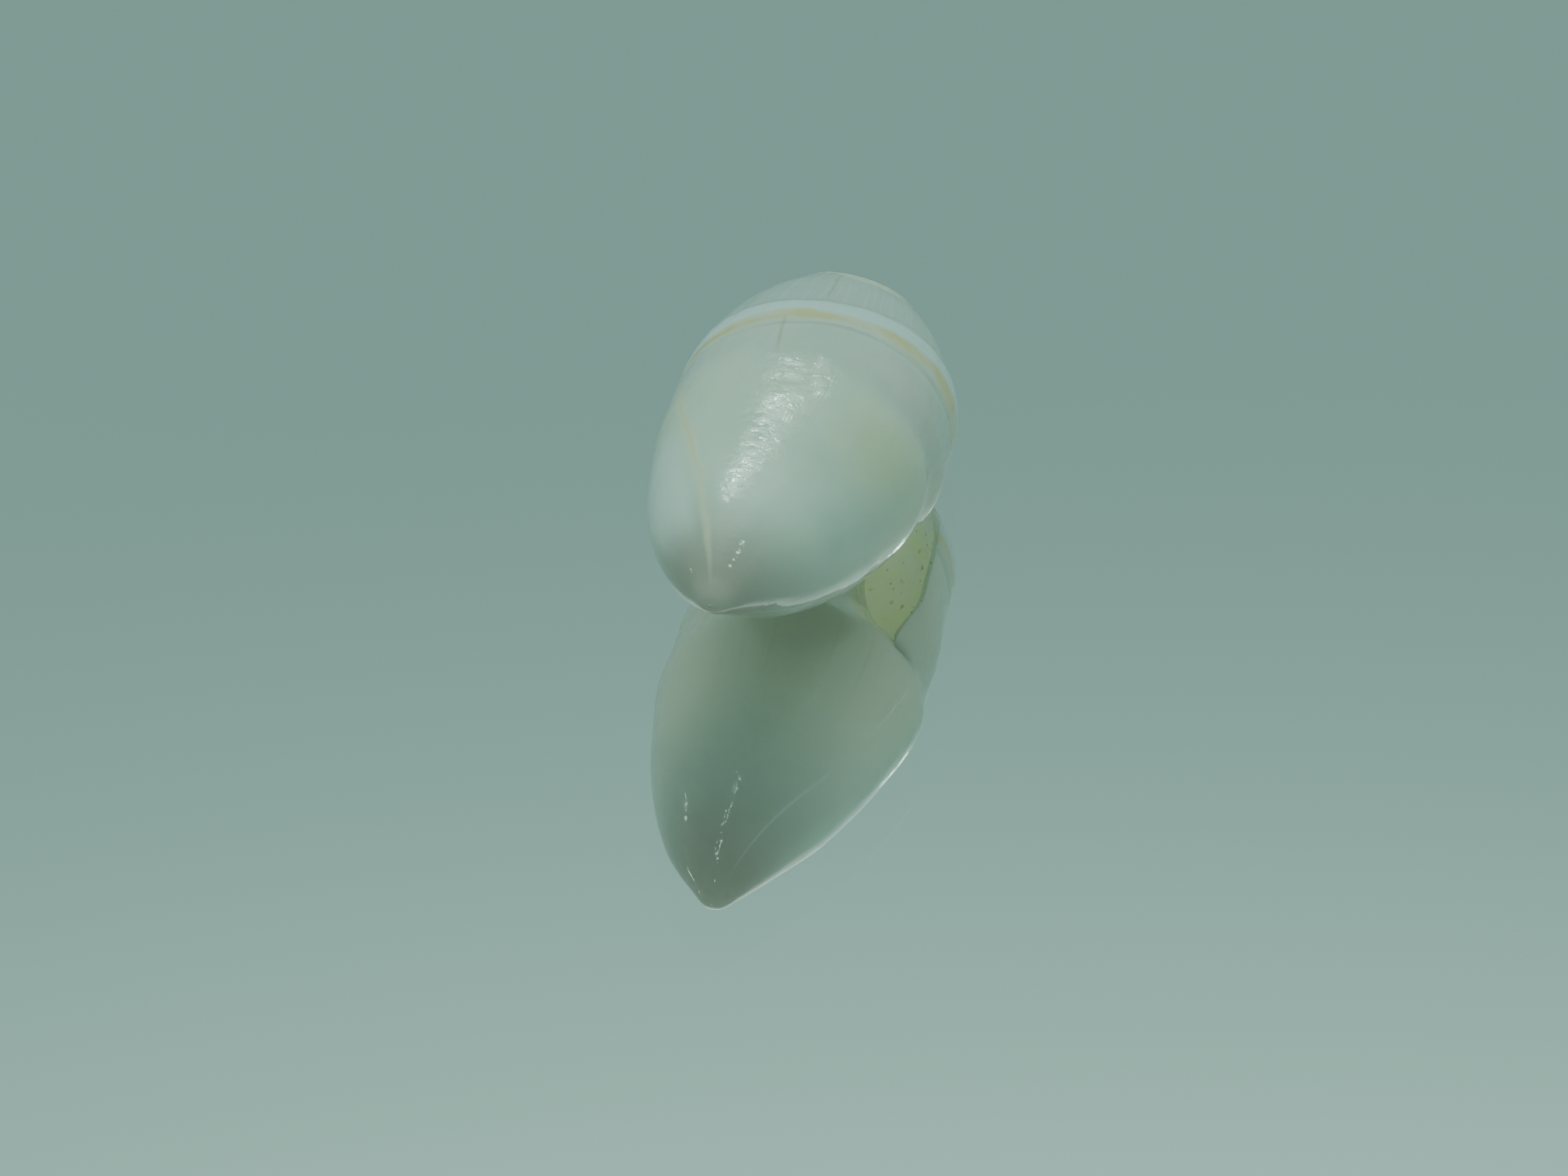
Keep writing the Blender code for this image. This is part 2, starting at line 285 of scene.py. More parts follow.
class ShellSurface:
    """The spiral surface of the shell, from the sizes that a user may change."""

    def __init__(self, sizes):
        self.length = sizes.length
        self.body_radius = sizes.body_radius
        self.wall = sizes.wall
        self.lip_wall = sizes.lip_wall
        self.band_width = sizes.band_width
        self.rim_width = sizes.rim_width
        self.ripple = sizes.ripple
        self.profile = Curve(PROFILE)
        self.growth = Curve(GROWTH)
        self.lean_to_lip = Curve(LEAN_TO_LIP)
        self.lean_to_back = Curve(LEAN_TO_BACK)

    def groove_height(self, turn):
        """Height of the groove: it climbs going back in growth, and eases down under the glaze."""
        climb = GROOVE_START + GROOVE_RISE * turn / TURN
        covered = ease(GROOVE_COVERED, TURN * 0.95, turn)
        return climb + (GROOVE_INNER - climb) * covered

    def margin_height(self, turn):
        """Height of the free front edge: rounded at the lip, notched behind it."""
        lip = MARGIN_LIP * (1.0 - ease(0.0, MARGIN_LIP_TURN, turn))
        notch = NOTCH_DEPTH * bell(turn, NOTCH_TURN, NOTCH_WIDTH)
        return lip + notch * ease(0.0, NOTCH_FULL_TURN, turn)

    def front_distance(self, turn, height):
        """Distance in front of the groove, along the axis."""
        return (self.groove_height(turn) - height) * self.length

    def relief(self, turn, height):
        """Height of the surface above the plain spiral: the groove line, the rim, and growth ripples."""
        away = self.front_distance(turn, height)
        fade = 1.0 - ease(GROOVE_COVERED, GROOVE_COVERED + GROOVE_FADE, turn)
        groove = -GROOVE_DEPTH * bell(away, 0.0, GROOVE_WIDTH)
        middle = self.band_width + self.rim_width / 2.0
        across = (away - middle) / (self.rim_width / 2.0)
        rim = RIM_HEIGHT * np.exp(-(across ** 4))
        waves = np.sin(turn * 23.0 + 2.0 * np.sin(turn * 5.0)) + 0.6 * np.sin(turn * 41.0 + height * 3.0)
        ripples = self.ripple * waves * (1.0 - ease(0.35, 0.62, height)) * ease(0.0, 0.3, turn)
        return (groove + rim) * fade + ripples

    def lip_shape(self, turn, height):
        """Flare of the outer lip, less the waist behind it."""
        flare = LIP_FLARE * bell(turn, 0.0, FLARE_SPREAD) * bell(height, FLARE_HEIGHT, FLARE_RISE)
        waist = LIP_WAIST * bell(turn, WAIST_TURN, WAIST_SPREAD) * bell(height, WAIST_HEIGHT, WAIST_RISE)
        fade = 1.0 - ease(FLARE_HEIGHT, CORNER_HEIGHT, height)
        return (flare - waist) * fade

    def spiral_radius(self, turn, height):
        """Radius of the growing surface, with no relief."""
        stage = (turn - math.pi) / TURN
        reach = np.maximum(height - GROWTH_REACH * np.sin(turn / 2.0) ** 2, 0.0)
        size = self.body_radius * self.profile(height) * np.exp(-self.growth(reach) * stage)
        oval = OVAL * np.cos(2.0 * (turn - OVAL_TURN))
        lean = self.lean_to_lip(height) * np.cos(turn) + self.lean_to_back(height) * np.sin(turn)
        taper = PILLAR_TAPER * ease(TURN / 3.0, TURN, turn) * (1.0 - ease(0.0, PILLAR_HEIGHT, height))
        dip = FLOOR_DIP * ease(TURN, TURN + FLOOR_DIP_TURN, turn) * ease(0.2, CORNER_HEIGHT, height)
        plain = size * (1.0 + oval + lean) * (1.0 - taper) * (1.0 - dip)
        return plain + self.lip_shape(turn, height)

    def outer_radius(self, turn, height):
        """Radius of the outside, or of the aperture's floor past one turn."""
        return self.spiral_radius(turn, height) + self.relief(turn, height)

    def ceiling_radius(self, turn, height):
        """Radius of the inner face of the last turn: the wall thins at the lip and in the corner."""
        wall = self.lip_wall + (self.wall - self.lip_wall) * ease(0.0, WALL_TURN, turn)
        outside = self.spiral_radius(turn, height)
        gap = outside - self.spiral_radius(turn + TURN, height)
        return outside - np.minimum(wall, WALL_SHARE * gap)

    def row_heights(self, turn):
        """Heights of the rows from the free edge to the aperture's corner, packed round the rim."""
        margin = float(self.margin_height(turn))
        groove = float(self.groove_height(turn))
        rim = groove - (self.band_width + self.rim_width * 1.25) / self.length
        rim = max(rim, margin + 0.02)
        front = np.linspace(margin, rim, FRONT_ROWS, endpoint=False)
        band = np.linspace(rim, groove, RIM_ROWS, endpoint=False)
        body = np.linspace(groove, CORNER_HEIGHT, BODY_ROWS + 1)
        return np.concatenate((front, band, body))

    def spire_heights(self):
        """Heights of the closed rings from the corner to the tip, closer together near the tip."""
        share = np.arange(1, SPIRE_ROWS) / SPIRE_ROWS
        return CORNER_HEIGHT + (1.0 - CORNER_HEIGHT) * (1.0 - (1.0 - share) ** 1.6)


class ShellMesh:
    """Collects the points and faces of the shell, patch by patch."""

    def __init__(self, surface):
        self.surface = surface
        self.points = []
        self.turns = []
        self.heights = []
        self.inner = []
        self.faces = []
        self.cavity_columns = round(COLUMNS * CAVITY_TURN / TURN)
        self.corner_row = FRONT_ROWS + RIM_ROWS + BODY_ROWS

    def add_point(self, place, turn, height, inner):
        """Keep one point and what its colours are worked out from."""
        self.points.append(place)
        self.turns.append(turn)
        self.heights.append(height)
        self.inner.append(inner)
        return len(self.points) - 1

    def add_line(self, turn, heights, radii, inner):
        """Add the points of one column of the surface."""
        line = []
        for height, radius in zip(heights, radii):
            place = (radius * math.cos(turn), radius * math.sin(turn), height * self.surface.length)
            line.append(self.add_point(place, turn, height, inner))
        return line

    def add_face(self, *corners):
        """Add a face, leaving out corners that meet."""
        kept = list(dict.fromkeys(corners))
        if len(kept) > 2:
            self.faces.append(kept)

    def add_strip(self, first, second):
        """Join two lines of points with one row of faces."""
        for index in range(len(first) - 1):
            self.add_face(first[index], first[index + 1], second[index + 1], second[index])

    def build_outside(self):
        """Lay the columns of the outside and, past one turn, of the aperture's floor."""
        self.outside = []
        for column in range(COLUMNS + self.cavity_columns + 1):
            turn = TURN * column / COLUMNS
            heights = self.surface.row_heights(turn)
            radii = self.surface.outer_radius(turn, heights)
            inner = float(ease(TURN, TURN * 1.12, turn))
            line = self.add_line(turn, heights, radii, inner)
            if column == COLUMNS:
                line[self.corner_row] = self.outside[0][self.corner_row]
            self.outside.append(line)
        for first, second in zip(self.outside, self.outside[1:]):
            self.add_strip(first, second)

    def build_ceiling(self):
        """Lay the columns of the inner face of the last turn."""
        self.ceiling = []
        for column in range(self.cavity_columns + 1):
            turn = TURN * column / COLUMNS
            heights = self.surface.row_heights(turn)
            radii = self.surface.ceiling_radius(turn, heights)
            line = self.add_line(turn, heights, radii, 1.0)
            if column == 0:
                line[self.corner_row] = self.outside[0][self.corner_row]
            self.ceiling.append(line)
        for first, second in zip(self.ceiling[1:], self.ceiling):
            self.add_strip(first, second)

    def build_edge(self):
        """Round the free edge, down the lip and back along the front margin."""
        pairs = []
        for row in range(self.corner_row, 0, -1):
            pairs.append((self.outside[0][row], self.ceiling[0][row]))
        for column in range(self.cavity_columns + 1):
            pairs.append((self.outside[column][0], self.ceiling[column][0]))
        lines = []
        for index, (outer, inner) in enumerate(pairs):
            if outer == inner:
                lines.append([outer] * (EDGE_STEPS + 1))
                continue
            ahead = pairs[min(index + 1, len(pairs) - 1)]
            behind = pairs[max(index - 1, 0)]
            lines.append([outer] + self.round_edge(outer, inner, ahead, behind) + [inner])
        for first, second in zip(lines, lines[1:]):
            self.add_strip(first, second)
        self.edge_end = lines[-1]

    def round_edge(self, outer, inner, ahead, behind):
        """Add the points of a half circle that bulges out past the free edge."""
        start = np.array(self.points[outer])
        end = np.array(self.points[inner])
        along = np.array(self.points[ahead[0]]) - np.array(self.points[behind[0]])
        along += np.array(self.points[ahead[1]]) - np.array(self.points[behind[1]])
        middle = (start + end) / 2.0
        across = (start - end) / 2.0
        bulge = np.cross(across, along)
        bulge *= np.linalg.norm(across) / max(np.linalg.norm(bulge), 1e-12)
        line = []
        for step in range(1, EDGE_STEPS):
            angle = math.pi * step / EDGE_STEPS
            place = middle + across * math.cos(angle) + bulge * math.sin(angle)
            share = step / EDGE_STEPS
            line.append(self.add_point(tuple(place), self.turns[outer], self.heights[outer], share))
        return line

    def build_inner_ends(self):
        """Close the cavity at its top row and at its blind end."""
        top = self.corner_row
        roof = [line[top] for line in self.ceiling]
        floor = [line[top] for line in self.outside[COLUMNS:]]
        self.add_strip(floor, roof)
        self.add_strip(self.outside[-1], self.ceiling[-1])

    def build_base(self):
        """Close the front end of the pillar with rings that draw in to its tip."""
        loop = [line[0] for line in self.outside[self.cavity_columns:]]
        loop += reversed(self.edge_end)
        tip_place = np.array((0.0, 0.0, PILLAR_TIP * self.surface.length))
        ring = loop
        for step in range(1, BASE_RINGS):
            share = step / BASE_RINGS
            inner_ring = []
            for point in loop:
                place = np.array(self.points[point]) * (1.0 - share) + tip_place * share
                row = (self.turns[point], self.heights[point] * (1.0 - share), self.inner[point])
                inner_ring.append(self.add_point(tuple(place), *row))
            self.add_strip(inner_ring, ring)
            ring = inner_ring
        tip = self.add_point(tuple(tip_place), TURN, 0.0, 0.5)
        for first, second in zip(ring, ring[1:]):
            self.add_face(second, first, tip)

    def build_spire(self):
        """Stack closed rings from the corner up to the tip."""
        ring = [self.outside[column][self.corner_row] for column in range(COLUMNS)]
        turns = TURN * np.arange(COLUMNS) / COLUMNS
        for height in self.surface.spire_heights():
            radii = self.surface.outer_radius(turns, height)
            above = []
            for turn, radius in zip(turns, radii):
                above += self.add_line(turn, [height], [radius], 0.0)
            self.add_strip(above + above[:1], ring + ring[:1])
            ring = above
        tip = self.add_point((0.0, 0.0, self.surface.length), 0.0, 1.0, 0.0)
        for first, second in zip(ring, ring[1:] + ring[:1]):
            self.add_face(first, second, tip)

    def laid_down(self):
        """Return the points turned to rest, placed on the solid of the frame, with the foot worn flat."""
        axis = Vector((0.0, -math.cos(AXIS_PITCH), math.sin(AXIS_PITCH)))
        under = (Vector((0.0, 0.0, -1.0)) + axis * axis.z).normalized()
        side = axis.cross(under)
        lip = side * math.cos(LIP_ROLL) + under * math.sin(LIP_ROLL)
        back = axis.cross(lip)
        turned = np.array(Matrix((lip, back, axis)).transposed())
        places = np.array(self.points) @ turned.T
        low = places.min(axis=0)
        high = places.max(axis=0)
        middle = (np.array(shell_low) + np.array(shell_high)) / 2.0
        places[:, :2] += (middle - (low + high) / 2.0)[:2]
        places[:, 2] += shell_high[2] - high[2]
        rise = places[:, 2]
        places[:, 2] = (rise + np.sqrt(rise * rise + FOOT_SOFTNESS ** 2)) / 2.0
        return places

    def finish(self, name):
        """Write the points, the faces and what drives the colours to a named mesh."""
        data = bpy.data.meshes.new(name)
        data.from_pydata(self.laid_down().tolist(), [], self.faces)
        data.polygons.foreach_set("use_smooth", [True] * len(data.polygons))
        turns = np.array(self.turns)
        heights = np.array(self.heights)
        self.write_turns(data, turns)
        front = self.surface.front_distance(turns, heights) / MM
        edge = (heights - self.surface.margin_height(turns)) * self.surface.length / MM
        under = 0.5 + 0.5 * np.cos(turns - UNDER_TURN)
        layers = (
            ("height", heights),
            ("front", front),
            ("edge", edge),
            ("under", under),
            ("inner", self.inner),
        )
        for label, values in layers:
            layer = data.attributes.new(label, "FLOAT", "POINT")
            layer.data.foreach_set("value", np.asarray(values, dtype=np.float32))
        data.validate()
        data.update()
        return data

    def write_turns(self, data, turns):
        """Write the turn at each face's corners, so that it doesn't jump back inside a face."""
        corners = np.zeros(len(data.loops), dtype=np.int32)
        data.loops.foreach_get("vertex_index", corners)
        starts = np.zeros(len(data.polygons), dtype=np.int32)
        data.polygons.foreach_get("loop_start", starts)
        values = turns[corners]
        highest = np.maximum.reduceat(values, starts)
        lowest = np.minimum.reduceat(values, starts)
        sizes = np.diff(np.append(starts, len(values)))
        jumps = np.repeat(highest - lowest > math.pi, sizes)
        values = np.where(jumps & (values < math.pi), values + TURN, values) / TURN
        layer = data.attributes.new("turn", "FLOAT", "CORNER")
        layer.data.foreach_set("value", values.astype(np.float32))


def opaque(colour):
    """Add full opacity to a plain colour, and leave a socket as it is."""
    if isinstance(colour, bpy.types.NodeSocket):
        return colour
    return (colour[0], colour[1], colour[2], 1.0)


class Graph:
    """Short calls that add shader nodes to a material or a world and join them."""

    def __init__(self, owner):
        owner.use_nodes = True
        self.owner = owner
        self.nodes = owner.node_tree.nodes
        self.links = owner.node_tree.links

    def link(self, value, socket):
        """Join a socket to another, or set a plain value on it."""
        if isinstance(value, bpy.types.NodeSocket):
            self.links.new(value, socket)
        else:
            socket.default_value = value

    def attribute(self, name):
        """Read a value that the mesh carries."""
        node = self.nodes.new("ShaderNodeAttribute")
        node.attribute_name = name
        return node.outputs["Fac"]

    def math(self, operation, *values):
        """Work out one number from others."""
        node = self.nodes.new("ShaderNodeMath")
        node.operation = operation
        for value, socket in zip(values, node.inputs):
            self.link(value, socket)
        return node.outputs["Value"]

    def times(self, first, *others):
        """Multiply several numbers."""
        for other in others:
            first = self.math("MULTIPLY", first, other)
        return first

    def line(self, value, slope, start):
        """Give the start, plus the slope times the value."""
        return self.math("ADD", self.math("MULTIPLY", value, slope), start)

    def ramp(self, value, start, end):
        """Rise smoothly from 0 where the value is start to 1 where it is end."""
        node = self.nodes.new("ShaderNodeMapRange")
        node.interpolation_type = "SMOOTHSTEP"
        self.link(value, node.inputs["Value"])
        self.link(start, node.inputs["From Min"])
        self.link(end, node.inputs["From Max"])
        return node.outputs["Result"]

    def window(self, value, start, end, blur):
        """Give 1 between start and end, and 0 outside, with soft ends."""
        enter = self.ramp(value, start - blur, start + blur)
        leave = self.ramp(value, end + blur, end - blur)
        return self.math("MULTIPLY", enter, leave)

    def bell(self, value, middle, width):
        """Give 1 at the middle and fade to 0 at the width on both sides."""
        away = self.math("ABSOLUTE", self.math("SUBTRACT", value, middle))
        return self.ramp(away, width, 0.0)

    def mix(self, share, first, second):
        """Mix two colours, each a socket or a plain colour."""
        node = self.nodes.new("ShaderNodeMix")
        node.data_type = "RGBA"
        self.link(share, node.inputs[0])
        self.link(opaque(first), node.inputs[6])
        self.link(opaque(second), node.inputs[7])
        return node.outputs[2]

    def vector(self, x, y, z):
        """Put three numbers together as a place."""
        node = self.nodes.new("ShaderNodeCombineXYZ")
        for value, socket in zip((x, y, z), node.inputs):
            self.link(value, socket)
        return node.outputs["Vector"]

    def object_place(self):
        """Place on the object in millimetres."""
        coordinates = self.nodes.new("ShaderNodeTexCoord")
        node = self.nodes.new("ShaderNodeVectorMath")
        node.operation = "SCALE"
        self.link(coordinates.outputs["Object"], node.inputs[0])
        node.inputs["Scale"].default_value = 1.0 / MM
        return node.outputs["Vector"]

    def noise(self, place, scale, detail, roughness=0.5):
        """Cloudy noise from 0 to 1."""
        node = self.nodes.new("ShaderNodeTexNoise")
        self.link(place, node.inputs["Vector"])
        node.inputs["Scale"].default_value = scale
        node.inputs["Detail"].default_value = detail
        node.inputs["Roughness"].default_value = roughness
        return node.outputs["Fac"]

    def cells(self, place, scale):
        """Distance to the nearest of many scattered points, and a random number for each."""
        node = self.nodes.new("ShaderNodeTexVoronoi")
        self.link(place, node.inputs["Vector"])
        node.inputs["Scale"].default_value = scale
        return node.outputs["Distance"], node.outputs["Color"]

    def bump(self, height, depth, normal=None):
        """Turn a height from 0 to 1 into a bumpy normal."""
        node = self.nodes.new("ShaderNodeBump")
        self.link(height, node.inputs["Height"])
        node.inputs["Distance"].default_value = depth
        node.inputs["Strength"].default_value = 1.0
        if normal is not None:
            self.link(normal, node.inputs["Normal"])
        return node.outputs["Normal"]


class Glaze(Graph):
    """Milky glaze, painted layer by layer from the turn and the height of each point."""

    def __init__(self, sizes, colours):
        super().__init__(bpy.data.materials.new("shell glaze"))
        self.colours = colours
        self.band_end = sizes.band_width / MM
        self.rim_end = self.band_end + sizes.rim_width / MM
        self.turn = self.attribute("turn")
        self.height = self.attribute("height")
        self.place = self.object_place()
        self.wander = self.math("SUBTRACT", self.noise(self.place, 0.55, 3.0), 0.5)
        self.front = self.wavy(self.attribute("front"), 0.7)
        self.growth_turn = self.wavy(self.turn, 0.012)
        self.lines = self.spiral_noise(GROWTH_TONES, 6.0, 0.62)
        self.skin = colours.milk

    def wavy(self, value, reach):
        """Let a value wander a little from place to place."""
        return self.math("ADD", value, self.math("MULTIPLY", self.wander, reach))

    def spiral_noise(self, features, detail, roughness):
        """Noise along the spiral, with so many features round a turn and along the shell."""
        around, along = features
        place = self.vector(
            self.math("MULTIPLY", self.growth_turn, around),
            self.math("MULTIPLY", self.height, along),
            0.0,
        )
        return self.noise(place, 1.0, detail, roughness)

    def lay(self, tone, strength, *masks):
        """Lay a tone over what is painted so far, where every mask allows it."""
        self.skin = self.mix(self.times(strength, *masks), self.skin, tone)

    def paint_clouds(self):
        """Cloudy white, with a yellow-green tint that shows through the middle of the body."""
        clouds = self.ramp(self.noise(self.place, 0.22, 4.0, 0.55), 0.35, 0.65)
        self.lay(self.colours.glaze, 1.0, clouds)
        tinted = self.ramp(self.noise(self.place, 0.38, 3.0), 0.3, 0.75)
        self.lay(self.colours.tint, 0.35, tinted, self.window(self.height, 0.36, 0.62, 0.12))

    def paint_patches(self):
        """Tint along the lip, and the soft patches of the last turn."""
        near_lip = self.ramp(self.turn, 0.12, 0.02)
        self.lay(self.colours.tint, 0.6, near_lip, self.window(self.height, 0.2, 0.62, 0.08))
        for name, turn, turn_reach, height, height_reach, strength in BODY_PATCHES:
            around = self.bell(self.turn, turn, turn_reach)
            along = self.bell(self.height, height, height_reach)
            self.lay(getattr(self.colours, name), strength, around, along)

    def paint_spire(self):
        """Warm underside, partly the callus's own colour and partly painted light that lifts the shade
        there; a greyer spire, partly its own grey and partly painted shade, with painted shade on its
        underside; and the pale seam in the spire's glaze.
        """
        under = self.attribute("under")
        # Warm underside: partly the callus's own colour, partly painted light that lifts the shade under the
        # shell.
        self.lay(self.colours.callus_and_painted_light, 0.85, self.ramp(under, 0.45, 0.85), self.ramp(self.height, 0.85, 0.6))
        # Greyer towards the tip: partly the spire's own grey, partly painted shade.
        self.lay(self.colours.spire, 0.8, self.ramp(self.height, 0.80, 0.96))
        # Painted shade: the spire's underside darker, where little light reaches it.
        self.lay(self.colours.spire, 0.5, self.ramp(under, 0.3, 0.8), self.ramp(self.height, 0.62, 0.9))
        seam_turn = self.math("ADD", self.turn, self.math("MULTIPLY", self.height, SEAM_LEAN))
        seam = self.bell(seam_turn, SEAM_TURN, 0.006)
        self.lay(self.colours.pale, 0.35, seam, self.window(self.height, 0.72, 0.93, 0.05))

    def paint_growth(self):
        """Growth lines, and the long growth mark with the pale blotch beside it."""
        below_spire = self.ramp(self.height, 0.75, 0.5)
        self.lay(self.colours.streak, 0.22, self.ramp(self.lines, 0.5, 0.75), below_spire)
        lean = self.math("MULTIPLY", self.math("SUBTRACT", self.height, MARK_HEIGHT), MARK_LEAN)
        mark_turn = self.wavy(self.math("ADD", self.turn, lean), 0.02)
        blotch = self.window(mark_turn, MARK_TURN + BLOTCH_START, MARK_TURN + BLOTCH_END, 0.022)
        self.lay(self.colours.pale, 0.8, blotch, self.window(self.height, 0.62, 0.88, 0.05))
        mark = self.bell(mark_turn, MARK_TURN, 0.022)
        self.lay(self.colours.band, 0.6, mark, self.window(self.height, 0.50, 0.95, 0.05))
        core = self.bell(mark_turn, MARK_TURN, 0.007)
        self.lay(self.colours.band_deep, 0.45, core, self.window(self.height, 0.52, 0.75, 0.08))

    def paint_front(self):
        """Beige band, bluish rim and grey front in front of the groove, until the glaze covers them, with
        painted shade at the rim's foot and in the groove line.
        """
        bare = self.ramp(self.turn, COVERED_TURN, BARE_TURN)
        clouds = self.ramp(self.noise(self.place, 0.7, 4.0, 0.6), 0.32, 0.6)
        band = self.mix(clouds, self.colours.band, self.colours.band_deep)
        band = self.mix(self.ramp(self.front, 0.55 * self.band_end, 0.05), band, self.colours.glaze)
        self.lay(band, 1.0, self.ramp(self.front, -0.1, 0.2), bare)
        rim = self.ramp(self.front, self.band_end - 0.15, self.band_end + 0.25)
        self.lay(self.colours.rim, 1.0, rim, bare)
        tone = self.mix(self.ramp(self.lines, 0.4, 0.75), self.colours.front, self.colours.front_pale)
        self.lay(tone, 1.0, self.ramp(self.front, self.rim_end - 0.3, self.rim_end + 0.35), bare)
        # Painted shade: darker at the foot of the raised rim and in the groove line.
        self.lay(self.colours.groove, 0.3, self.bell(self.front, self.rim_end + 0.2, 0.35), bare)
        self.lay(self.colours.groove, 0.5, self.bell(self.front, 0.0, 0.14), bare)

    def paint_marks(self):
        """Short tick behind the groove, and the thin line on the grey front."""
        mark_turn = self.wavy(self.turn, 0.006)
        tick_turn = self.math("SUBTRACT", mark_turn, self.math("MULTIPLY", self.front, TICK_LEAN))
        tick = self.bell(tick_turn, TICK_TURN, MARK_WIDTH)
        self.lay(self.colours.speck, 0.32, tick, self.window(self.front, -2.7, 0.4, 0.5))
        cap_line = self.bell(mark_turn, CAP_LINE_TURN, MARK_WIDTH)
        self.lay(self.colours.speck, 0.3, cap_line, self.window(self.front, 3.2, 7.0, 0.8))

    def paint_edge(self):
        """Yellowish white along the free edge, and a wider crescent at the front that is a painted
        highlight.
        """
        edge = self.attribute("edge")
        self.lay(self.colours.edge, 0.6, self.ramp(edge, 0.8, 0.1))
        # Painted highlight: a wider crescent of yellowish white along the far edge.
        self.lay(self.colours.edge, 1.0, self.window(self.turn, 0.20, 0.32, 0.02), self.ramp(edge, 1.0, 0.7))

    def paint_inside(self):
        """Pale yellow-green inside with scattered brown specks."""
        outside = self.skin
        self.skin = self.colours.inside
        self.lay(self.colours.inside_pale, 1.0, self.ramp(self.noise(self.place, 0.6, 4.0), 0.3, 0.7))
        for density, left_out, size in SPECKS:
            distance, random = self.cells(self.place, density)
            reach = self.math("MULTIPLY", self.noise(self.place, 6.0, 2.0), size)
            speck = self.ramp(distance, reach, self.math("MULTIPLY", reach, 0.15))
            self.lay(self.colours.speck, 0.8, speck, self.ramp(random, left_out, left_out + 0.04))
        self.skin = self.mix(self.attribute("inner"), outside, self.skin)

    def shape_gloss(self, surface):
        """Dull threads that break up the sheen on the back, with growth lines and soft dents."""
        back_turns = self.window(self.growth_turn, 0.26, 0.43, 0.05)
        back = self.math("MULTIPLY", back_turns, self.window(self.height, 0.44, 0.86, 0.06))
        threads = self.spiral_noise(THREADS, 3.0, 0.6)
        dull = self.times(self.ramp(threads, 0.58, 0.46), back)
        self.link(self.line(dull, THREAD_ROUGHNESS, LEAST_ROUGHNESS), surface["Roughness"])
        fine_lines = self.spiral_noise(GROWTH_LINES, 3.0, 0.6)
        growth_lines = self.times(fine_lines, self.ramp(self.height, 0.9, 0.5))
        bumps = self.bump(self.times(threads, back), THREAD_DEPTH)
        bumps = self.bump(growth_lines, LINE_DEPTH, bumps)
        bumps = self.bump(self.noise(self.place, 0.9, 3.0), DENT_DEPTH, bumps)
        self.link(bumps, surface["Normal"])


def make_glaze(sizes, colours):
    """Cloudy white glaze, with growth lines, a beige band, a bluish rim and a yellow-green inside."""
    glaze = Glaze(sizes, colours)
    glaze.paint_clouds()
    glaze.paint_patches()
    glaze.paint_spire()
    glaze.paint_growth()
    glaze.paint_front()
    glaze.paint_marks()
    glaze.paint_edge()
    glaze.paint_inside()
    surface = glaze.nodes["Principled BSDF"].inputs
    glaze.link(glaze.skin, surface["Base Color"])
    glaze.shape_gloss(surface)
    surface["Subsurface Weight"].default_value = sizes.translucency
    surface["Subsurface Radius"].default_value = SCATTER_COLOURS
    surface["Subsurface Scale"].default_value = SCATTER_REACH
    surface["IOR"].default_value = GLAZE_IOR
    return glaze.owner


def build_shell_piece(sizes, colours):
    """Model the whole shell and give it its glaze."""
    builder = ShellMesh(ShellSurface(sizes))
    builder.build_outside()
    builder.build_ceiling()
    builder.build_edge()
    builder.build_inner_ends()
    builder.build_base()
    builder.build_spire()
    data = builder.finish("glazed_shell")
    data.materials.append(make_glaze(sizes, colours))
    piece = bpy.data.objects.new("glazed_shell", data)
    bpy.context.scene.collection.objects.link(piece)
    return piece


def flat_sheet(name, half, level):
    """Square sheet that lies level."""
    data = bpy.data.meshes.new(name)
    corners = [(-half, -half, level), (half, -half, level), (half, half, level), (-half, half, level)]
    data.from_pydata(corners, [], [(0, 1, 2, 3)])
    data.update()
    sheet = bpy.data.objects.new(name, data)
    bpy.context.scene.collection.objects.link(sheet)
    return sheet


def make_floor_finish(stage):
    """Silvering under the floor's clear top: a mirror that is paler in front, as painted light."""
    graph = Graph(bpy.data.materials.new("floor silvering"))
    along = graph.nodes.new("ShaderNodeSeparateXYZ")
    graph.link(graph.object_place(), along.inputs["Vector"])
    # Painted light: the silvering is paler towards the front, standing in for a bright reflection.
    near = graph.ramp(along.outputs["Y"], FAR_TONE_PLACE, NEAR_TONE_PLACE)
    surface = graph.nodes["Principled BSDF"].inputs
    graph.link(graph.mix(near, stage.floor_far, stage.floor_near_painted_light), surface["Base Color"])
    surface["Metallic"].default_value = 1.0
    surface["Roughness"].default_value = 0.0
    return graph.owner


def make_floor_glass():
    """Clear top of the floor: it lets everything through but a faint reflection."""
    graph = Graph(bpy.data.materials.new("floor glass"))
    graph.nodes.remove(graph.nodes["Principled BSDF"])
    clear = graph.nodes.new("ShaderNodeBsdfTransparent")
    gloss = graph.nodes.new("ShaderNodeBsdfGlossy")
    gloss.inputs["Roughness"].default_value = 0.0
    mix = graph.nodes.new("ShaderNodeMixShader")
    mix.inputs["Fac"].default_value = TOP_REFLECTION
    graph.link(clear.outputs["BSDF"], mix.inputs[1])
    graph.link(gloss.outputs["BSDF"], mix.inputs[2])
    graph.link(mix.outputs["Shader"], graph.nodes["Material Output"].inputs["Surface"])
    return graph.owner


def build_floor(stage):
    """Lay the silvered back and the clear top of the floor."""
    silver = flat_sheet("floor", stage.floor_half, -stage.floor_depth)
    silver.data.materials.append(make_floor_finish(stage))
    top = flat_sheet("floor_top", stage.floor_half, -TOP_DROP)
    top.data.materials.append(make_floor_glass())


